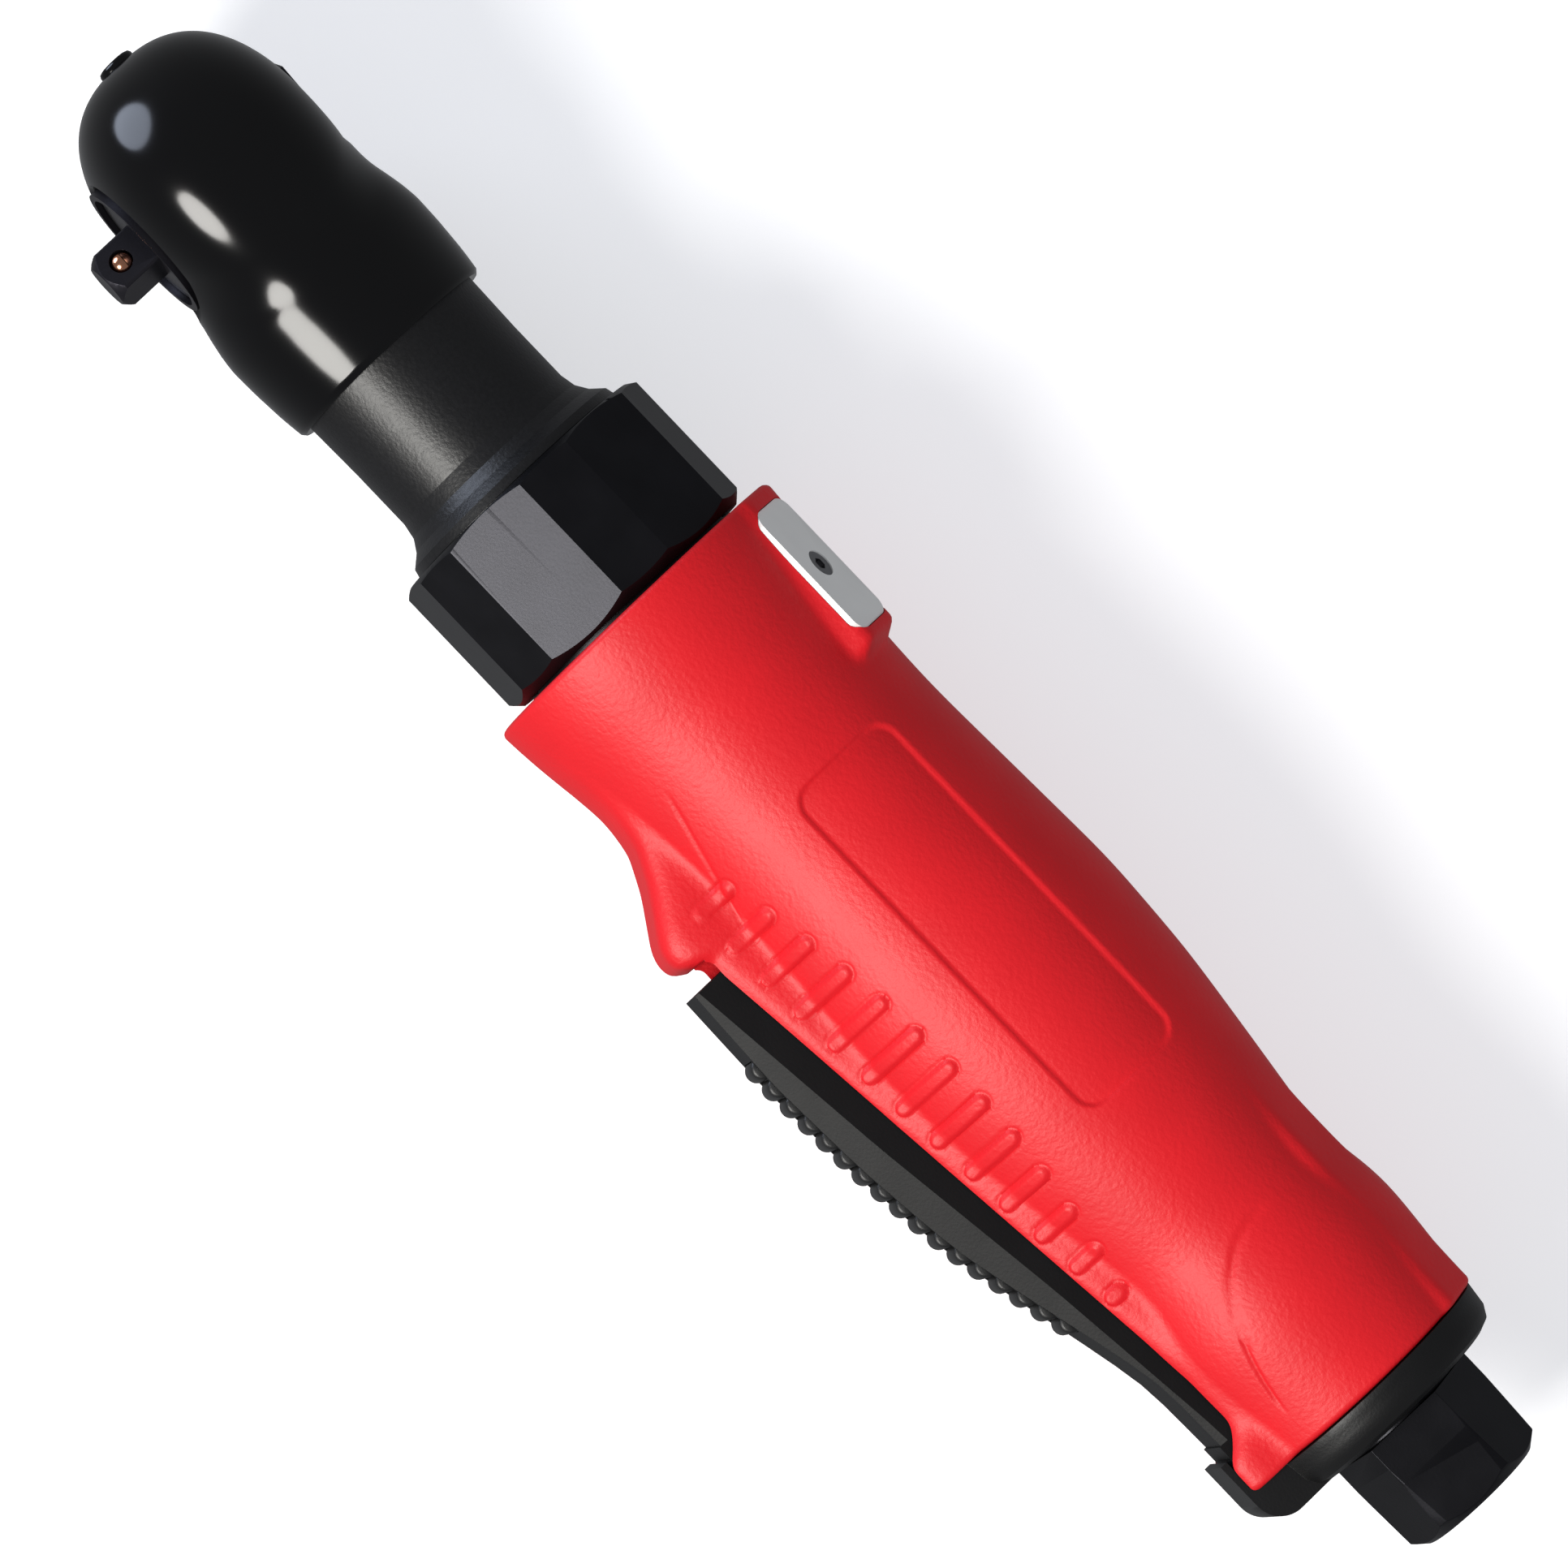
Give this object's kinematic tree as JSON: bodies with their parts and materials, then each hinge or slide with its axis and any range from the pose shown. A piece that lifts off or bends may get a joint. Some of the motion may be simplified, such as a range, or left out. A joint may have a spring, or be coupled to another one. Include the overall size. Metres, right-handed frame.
{
  "type": "pneumatic ratchet wrench",
  "caption": "Straight air ratchet with a square drive, reverse switch, squeeze lever, vane motor and planetary gears under a moulded grip and head boot.",
  "frame": {"origin": "centre of the air inlet's mouth", "axes": "+X forward along the tool from the inlet to the head, +Y the way the square drive and the lever point, +Z out of the side with the label panel"},
  "size_m": [0.2506, 0.0537, 0.046],
  "materials": {
    "black_oxide_steel": "satin black oxide",
    "screen_mesh": "fine mesh",
    "cap_black": "matte black",
    "silencer_felt": "sintered felt",
    "housing_aluminium": "machined",
    "seal_rubber": "black",
    "grip_red": "fine leathery grain",
    "plate_grey": "light grey satin",
    "zinc_steel": "plain",
    "lever_black": "matte black",
    "pad_black": "ribbed",
    "ground_steel": "ground",
    "bearing_steel": "polished",
    "spring_steel": "drawn wire",
    "vane_composite": "brown resin",
    "gear_steel": "hardened",
    "bushing_bronze": "oiled bronze",
    "head_black": "satin black, lightly speckled",
    "boot_gloss": "high gloss black",
    "drive_steel": "dark grey",
    "ball_copper": "bright"
  },
  "bodies": {
    "housing": {"inlet_bushing": "black_oxide_steel", "inlet_screen": "screen_mesh", "end_cap": "cap_black", "exhaust_silencer": "silencer_felt", "motor_housing": "housing_aluminium", "housing_seals": "seal_rubber", "grip_sleeve": "grip_red", "side_plate": "plate_grey", "plate_screw": "zinc_steel", "lever_pin": "zinc_steel", "rear_end_plate": "ground_steel", "front_end_plate": "ground_steel", "motor_liner": "ground_steel", "liner_pin": "zinc_steel", "bearing_outer_rings": "bearing_steel", "bearing_balls": "bearing_steel", "ring_gear": "gear_steel", "crank_bearings": "bearing_steel", "clamp_nut": "black_oxide_steel", "nut_retaining_ring": "spring_steel", "ratchet_housing": "head_black", "head_boot": "boot_gloss", "drive_plate": "drive_steel", "throttle_spring": "spring_steel"},
    "lever": {"throttle_lever": "lever_black", "lever_pad": "pad_black"},
    "plunger": {"throttle_plunger": "ground_steel", "plunger_seals": "seal_rubber"},
    "rotor": {"rotor": "ground_steel", "rotor_vanes": "vane_composite", "bearing_inner_rings": "bearing_steel"},
    "crankshaft": {"crankshaft": "ground_steel", "planet_pins": "ground_steel", "drive_bushing": "bushing_bronze"},
    "planet_1": {"planet_gear_1": "gear_steel"},
    "planet_2": {"planet_gear_2": "gear_steel"},
    "planet_3": {"planet_gear_3": "gear_steel"},
    "yoke": {"ratchet_yoke": "ground_steel"},
    "anvil": {"drive_anvil": "drive_steel", "snap_ring": "spring_steel", "pawl_pin": "ground_steel", "detent_spring": "spring_steel"},
    "ball": {"detent_ball": "ball_copper"},
    "pawl": {"pawl": "ground_steel"},
    "knob": {"reverse_knob": "drive_steel", "pawl_plunger": "ground_steel", "pawl_plunger_spring": "spring_steel"}
  },
  "joints": [
    {"name": "lever_press", "type": "hinge", "parent": "housing", "child": "lever", "pos_m": [0.0245, 0.0182, 0], "axis": [0, 0, -1], "range_deg": [0, 1.9], "stiffness_Nm_per_rad": 1, "springref_deg": -5.73},
    {"name": "plunger_slide", "type": "slide", "parent": "housing", "child": "plunger", "axis": [0, -1, 0], "range_m": [0, 0.00062], "deforming": ["throttle_spring"]},
    {"name": "rotor_spin", "type": "hinge", "parent": "housing", "child": "rotor", "pos_m": [0, 0, 0], "axis": [1, 0, 0], "continuous": true},
    {"name": "crank_spin", "type": "hinge", "parent": "housing", "child": "crankshaft", "pos_m": [0.16, 0, 0], "axis": [1, 0, 0], "continuous": true},
    {"name": "planet_1_spin", "type": "hinge", "parent": "crankshaft", "child": "planet_1", "pos_m": [0.156, 0, -0.009], "axis": [1, 0, 0], "continuous": true},
    {"name": "planet_2_spin", "type": "hinge", "parent": "crankshaft", "child": "planet_2", "pos_m": [0.156, 0.00779, 0.0045], "axis": [1, 0, 0], "continuous": true},
    {"name": "planet_3_spin", "type": "hinge", "parent": "crankshaft", "child": "planet_3", "pos_m": [0.156, -0.00779, 0.0045], "axis": [1, 0, 0], "continuous": true},
    {"name": "yoke_swing", "type": "hinge", "parent": "housing", "child": "yoke", "pos_m": [0.2303, 0, 0], "axis": [0, 1, 0], "range_deg": [-5.2, 5.2]},
    {"name": "anvil_spin", "type": "hinge", "parent": "housing", "child": "anvil", "pos_m": [0.2303, 0, 0], "axis": [0, 1, 0], "continuous": true},
    {"name": "ball_press", "type": "slide", "parent": "anvil", "child": "ball", "axis": [-0.2924, 0, -0.9563], "range_m": [0, 0.001], "stiffness_N_per_m": 1500, "springref_m": -0.0005, "deforming": ["detent_spring"]},
    {"name": "knob_turn", "type": "hinge", "parent": "anvil", "child": "knob", "pos_m": [0.2303, 0, 0], "axis": [0, 1, 0], "range_deg": [0, 76]},
    {"name": "pawl_tip", "type": "hinge", "parent": "anvil", "child": "pawl", "pos_m": [0.23795, 0, -0.00234], "axis": [0, -1, 0], "range_deg": [0, 12]}
  ],
  "couplings": [
    {"joint": "plunger_slide", "follows": "lever_press", "m_per_rad": 0.0185},
    {"joint": "crank_spin", "follows": "rotor_spin", "ratio": 0.25},
    {"joint": "planet_1_spin", "follows": "rotor_spin", "ratio": -0.75},
    {"joint": "planet_2_spin", "follows": "rotor_spin", "ratio": -0.75},
    {"joint": "planet_3_spin", "follows": "rotor_spin", "ratio": -0.75},
    {"joint": "pawl_tip", "follows": "knob_turn", "ratio": 0.1578}
  ]
}
